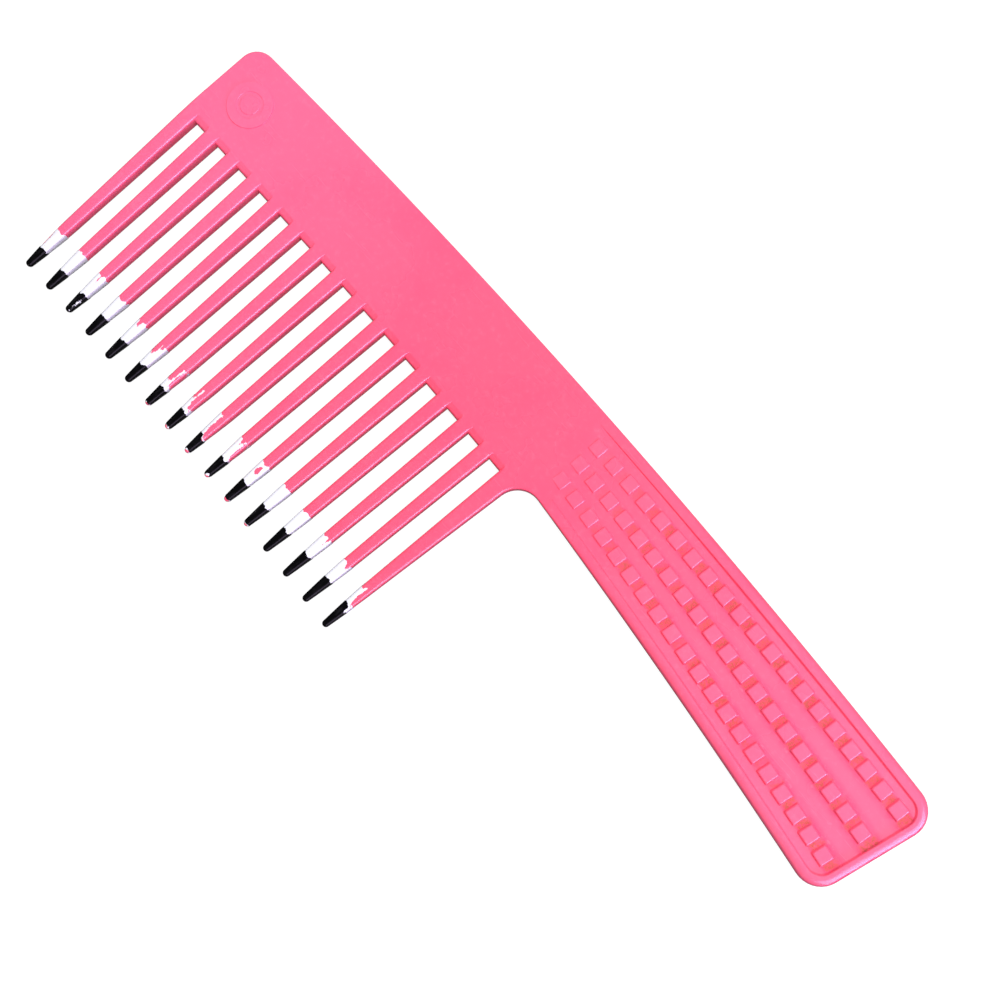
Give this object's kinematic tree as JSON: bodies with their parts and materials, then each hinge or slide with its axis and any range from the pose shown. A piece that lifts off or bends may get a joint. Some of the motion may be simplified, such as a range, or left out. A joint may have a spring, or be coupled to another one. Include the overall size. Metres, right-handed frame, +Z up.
{
  "type": "wide-tooth handled comb",
  "caption": "Flat one-piece wide-tooth hair comb with a long studded grip and two-tone dipped tooth tips.",
  "frame": {"origin": "bottom centre of the bounding box: the middle of the underside as the comb lies flat on a table", "axes": "+X along the comb from the head towards the handle's end, +Y from the teeth towards the back, +Z up out of the face with the grip panel and the head mark"},
  "size_m": [0.222, 0.076, 0.0046],
  "materials": {
    "moulding": "satin pink moulding, worn at the teeth",
    "white_paint": "white dipped paint, chipped at its upper edge",
    "black_paint": "black dipped paint over the white, rubbed through at the tips"
  },
  "bodies": {
    "root": {"spine": "moulding", "handle": "moulding", "neck_fillet": "moulding", "grip_studs_face": "moulding", "grip_studs_back": "moulding", "head_mark": "moulding", "tooth_01": "moulding", "tooth_02": "moulding", "tooth_03": "moulding", "tooth_04": "moulding", "tooth_05": "moulding", "tooth_06": "moulding", "tooth_07": "moulding", "tooth_08": "moulding", "tooth_09": "moulding", "tooth_10": "moulding", "tooth_11": "moulding", "tooth_12": "moulding", "tooth_13": "moulding", "tooth_14": "moulding", "tooth_15": "moulding", "tooth_16": "moulding", "white_coat_01": "white_paint", "white_coat_02": "white_paint", "white_coat_03": "white_paint", "white_coat_04": "white_paint", "white_coat_05": "white_paint", "white_coat_06": "white_paint", "white_coat_07": "white_paint", "white_coat_08": "white_paint", "white_coat_09": "white_paint", "white_coat_10": "white_paint", "white_coat_11": "white_paint", "white_coat_12": "white_paint", "white_coat_13": "white_paint", "white_coat_14": "white_paint", "white_coat_15": "white_paint", "white_coat_16": "white_paint", "black_coat_01": "black_paint", "black_coat_02": "black_paint", "black_coat_03": "black_paint", "black_coat_04": "black_paint", "black_coat_05": "black_paint", "black_coat_06": "black_paint", "black_coat_07": "black_paint", "black_coat_08": "black_paint", "black_coat_09": "black_paint", "black_coat_10": "black_paint", "black_coat_11": "black_paint", "black_coat_12": "black_paint", "black_coat_13": "black_paint", "black_coat_14": "black_paint", "black_coat_15": "black_paint", "black_coat_16": "black_paint"}
  },
  "joints": []
}
